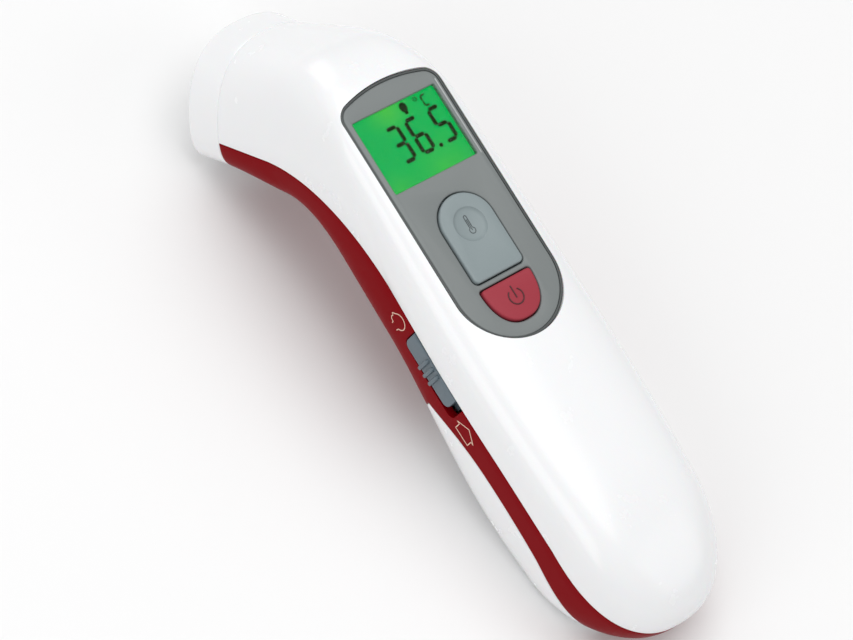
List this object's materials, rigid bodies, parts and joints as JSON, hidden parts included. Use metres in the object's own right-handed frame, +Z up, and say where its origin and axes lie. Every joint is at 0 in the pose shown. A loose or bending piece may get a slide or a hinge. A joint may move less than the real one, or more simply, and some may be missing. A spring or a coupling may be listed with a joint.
{
  "type": "infrared forehead thermometer",
  "caption": "Hand-held non-contact infrared thermometer with an angled sensor head, back-lit display panel, scan and power keys, side mode slider and battery door.",
  "frame": {"origin": "on the table under the middle of the overall length and width, with the object lying on its back", "axes": "+Z up; +X from the nozzle towards the butt of the handle; -Y is the side with the mode slider; the display faces up, tipped by the rest angle"},
  "size_m": [0.1668, 0.0391, 0.0531],
  "materials": {
    "cover_white": "satin white moulded plastic",
    "housing_red": "satin dark red moulded plastic",
    "panel_grey": "fine matte grey",
    "key_grey": "fine matte light grey",
    "key_red": "fine matte red",
    "slider_grey": "fine matte grey",
    "lens_clear": "clear gloss",
    "lcd": "back-lit green display glass",
    "light_guide": "translucent light guide",
    "holder_ivory": "natural moulded plastic",
    "rubber_dark": "conductive elastomer",
    "board_green": "solder-masked laminate",
    "chip_black": "moulded epoxy",
    "component_mix": "ceramic and enamel",
    "steel": "plated steel",
    "barrel_chrome": "mirror-plated barrel",
    "filter_dark": "infrared filter",
    "ribbon": "polyimide ribbon",
    "tray_white": "matte white",
    "cell_wrap": "printed sleeve, plain colour"
  },
  "bodies": {
    "case": {"front_cover": "cover_white", "rear_housing": "housing_red", "nozzle_collar": "cover_white", "display_panel": "panel_grey", "window_lens": "lens_clear", "lcd_glass": "lcd", "backlight": "light_guide", "lcd_holder": "holder_ivory", "contact_strips": "rubber_dark", "circuit_board": "board_green", "controller_chip": "chip_black", "board_parts": "component_mix", "buzzer": "chip_black", "scan_switch": "steel", "power_switch": "steel", "slide_switch": "steel", "sensor_barrel": "barrel_chrome", "sensor_holder": "holder_ivory", "sensor_can": "steel", "sensor_filter": "filter_dark", "sensor_board": "board_green", "sensor_ribbon": "ribbon", "battery_tray": "tray_white", "cell_left": "cell_wrap", "cell_right": "cell_wrap", "spring_contacts": "steel", "link_contact": "steel", "case_screws": "steel", "board_screws": "steel"},
    "battery_door": {"battery_door": "cover_white"},
    "scan_key": {"scan_key": "key_grey", "scan_plunger": "chip_black"},
    "power_key": {"power_key": "key_red", "power_plunger": "chip_black"},
    "mode_slider": {"mode_slider": "slider_grey", "slide_actuator": "chip_black"}
  },
  "joints": [
    {"name": "scan_press", "type": "slide", "parent": "case", "child": "scan_key", "axis": [-0.2103, 0, -0.9776], "range_m": [0, 0.0008], "stiffness_N_per_m": 2500},
    {"name": "power_press", "type": "slide", "parent": "case", "child": "power_key", "axis": [-0.2103, 0, -0.9776], "range_m": [0, 0.0008], "stiffness_N_per_m": 2500},
    {"name": "mode_slide", "type": "slide", "parent": "case", "child": "mode_slider", "axis": [0.9776, 0, -0.2103], "range_m": [0, 0.0022]},
    {"name": "door_hinge", "type": "hinge", "parent": "case", "child": "battery_door", "pos_m": [0.07517, 0, -0.00135], "axis": [0, 1, 0], "range_deg": [-40, 0]}
  ]
}
